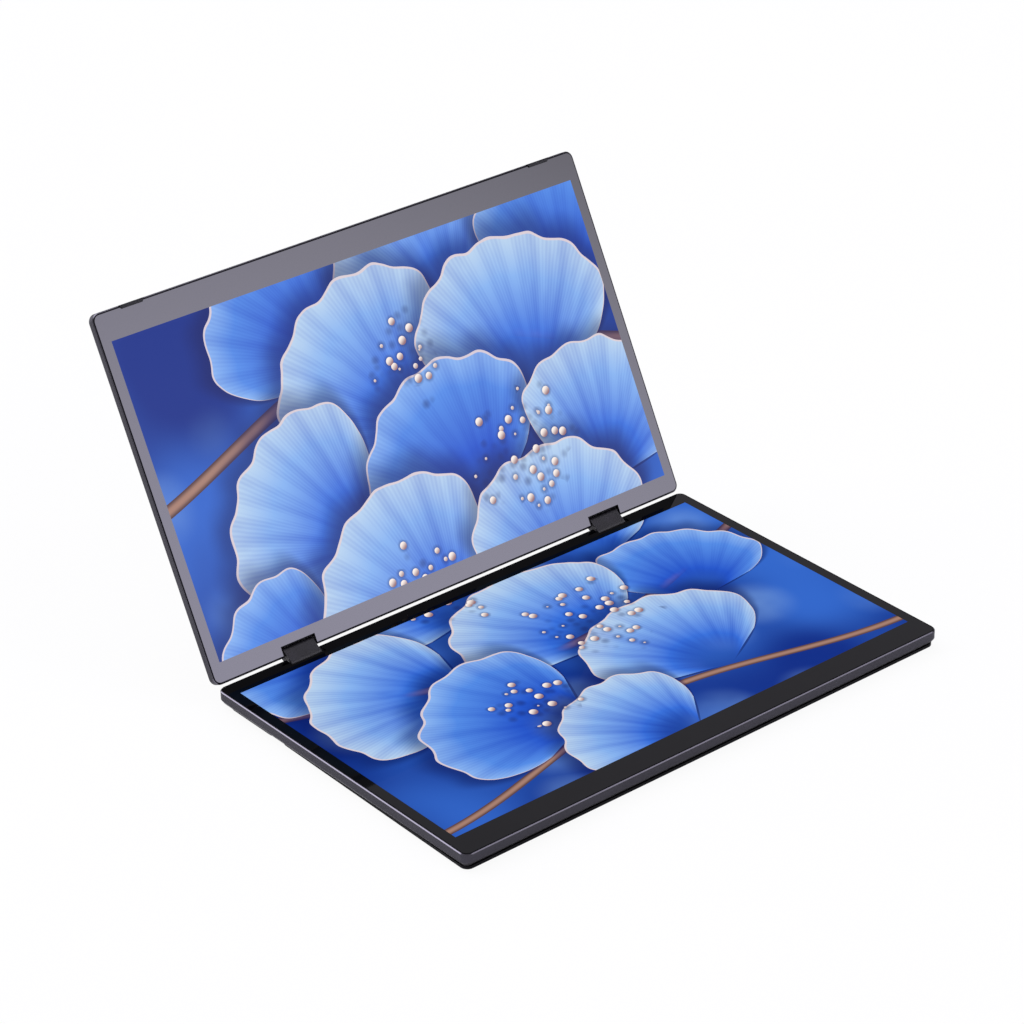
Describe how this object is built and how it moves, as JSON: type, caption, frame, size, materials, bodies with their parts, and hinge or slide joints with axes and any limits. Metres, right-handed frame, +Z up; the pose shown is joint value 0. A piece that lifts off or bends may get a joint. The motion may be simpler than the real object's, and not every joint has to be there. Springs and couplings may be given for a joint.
{
  "type": "dual portable monitor",
  "caption": "Foldable dual-screen portable monitor: slim framed displays joined at one edge by geared double-axis hinges, with a flat fold-out stand plate underneath.",
  "frame": {"origin": "middle of the underside of the bounding box at rest, on the table", "axes": "+X to the right of a person facing the screens, +Y away from them, +Z up"},
  "size_m": [0.3598, 0.3334, 0.2109],
  "materials": {
    "frame_metal": "bead-blasted dark grey anodised",
    "stand_metal": "fine matt black anodised",
    "rail_plastic": "fine matt",
    "front_glass": "polished, black-printed border",
    "display_glass": "laminated display cell",
    "backlight_film": "white light guide in a thin case",
    "frame_plastic": "glass-filled, moulded",
    "board": "green solder mask",
    "chip": "moulded chip cases",
    "flat_cable": "flat flexible cable",
    "socket_metal": "nickel-plated",
    "jack_plastic": "moulded black",
    "key_plastic": "fine matt",
    "speaker_case": "moulded black",
    "link_coating": "satin black-grey paint on cast zinc",
    "hinge_steel": "hardened and ground",
    "bracket_steel": "stamped and plated",
    "screw_steel": "zinc-plated",
    "foot_rubber": "matt black rubber"
  },
  "bodies": {
    "lower_monitor": {"lower_rear_cover": "frame_metal", "lower_mid_frame": "frame_plastic", "lower_mid_frame_screws": "screw_steel", "lower_cover_glass": "front_glass", "lower_display_cell": "display_glass", "lower_backlight": "backlight_film", "lower_panel_board": "board", "lower_bracket_screws": "screw_steel", "lower_hinge_shafts": "hinge_steel", "lower_spring_washers": "hinge_steel", "lower_shaft_nuts": "hinge_steel", "lower_left_hinge_bracket": "bracket_steel", "lower_right_hinge_bracket": "bracket_steel", "main_board": "board", "main_board_chips": "chip", "main_board_screws": "screw_steel", "display_cable": "flat_cable", "link_cable": "flat_cable", "usb_c_sockets": "socket_metal", "mini_hdmi_socket": "socket_metal", "audio_jack": "jack_plastic", "key_board": "board", "left_speaker": "speaker_case", "right_speaker": "speaker_case", "rear_foot_rail": "rail_plastic", "rail_screws": "screw_steel", "rear_feet": "foot_rubber", "stand_hinge_leaves": "bracket_steel", "stand_leaf_screws": "screw_steel", "stand_hinge_pins": "bracket_steel"},
    "hinge_links": {"left_link_housing": "link_coating", "right_link_housing": "link_coating", "link_end_plates": "link_coating"},
    "first_idlers": {"first_idler_gears": "hinge_steel"},
    "second_idlers": {"second_idler_gears": "hinge_steel"},
    "upper_monitor": {"upper_rear_cover": "frame_metal", "upper_mid_frame": "frame_plastic", "upper_mid_frame_screws": "screw_steel", "upper_cover_glass": "front_glass", "upper_display_cell": "display_glass", "upper_backlight": "backlight_film", "upper_panel_board": "board", "upper_bracket_screws": "screw_steel", "upper_hinge_shafts": "hinge_steel", "upper_spring_washers": "hinge_steel", "upper_shaft_nuts": "hinge_steel", "upper_left_hinge_bracket": "bracket_steel", "upper_right_hinge_bracket": "bracket_steel", "signal_cable": "flat_cable", "stop_pads": "foot_rubber"},
    "stand": {"stand_plate": "stand_metal", "stand_knuckle_leaves": "bracket_steel", "stand_plate_screws": "screw_steel", "stand_foot": "foot_rubber"},
    "power_key": {"power_button": "key_plastic"},
    "menu_key": {"menu_rocker": "key_plastic"}
  },
  "joints": [
    {"name": "link_fold", "type": "hinge", "parent": "lower_monitor", "child": "hinge_links", "pos_m": [0, 0.05505, 0.0081], "axis": [-1, 0, 0], "range_deg": [-58.8, 31.2]},
    {"name": "upper_fold", "type": "hinge", "parent": "hinge_links", "child": "upper_monitor", "pos_m": [0, 0.0619, 0.01224], "axis": [-1, 0, 0], "range_deg": [-61.3, 33.7]},
    {"name": "first_idler_spin", "type": "hinge", "parent": "hinge_links", "child": "first_idlers", "pos_m": [0, 0.05734, 0.00948], "axis": [-1, 0, 0], "range_deg": [-61.3, 33.7]},
    {"name": "second_idler_spin", "type": "hinge", "parent": "hinge_links", "child": "second_idlers", "pos_m": [0, 0.05962, 0.01086], "axis": [-1, 0, 0], "range_deg": [-33.7, 61.3]},
    {"name": "stand_fold", "type": "hinge", "parent": "lower_monitor", "child": "stand", "pos_m": [0, 0.00475, 0.0022], "axis": [1, 0, 0], "range_deg": [0, 120]},
    {"name": "power_press", "type": "slide", "parent": "lower_monitor", "child": "power_key", "axis": [-1, 0, 0], "range_m": [0, 0.0003], "stiffness_N_per_m": 2500, "springref_m": -0.0001},
    {"name": "menu_tilt", "type": "hinge", "parent": "lower_monitor", "child": "menu_key", "pos_m": [0.17643, -0.00505, 0.0065], "axis": [0, 0, 1], "range_deg": [-1.5, 1.5], "stiffness_Nm_per_rad": 0.25}
  ],
  "couplings": [
    {"joint": "upper_fold", "follows": "link_fold", "ratio": 1},
    {"joint": "first_idler_spin", "follows": "link_fold", "ratio": 1},
    {"joint": "second_idler_spin", "follows": "link_fold", "ratio": -1}
  ]
}
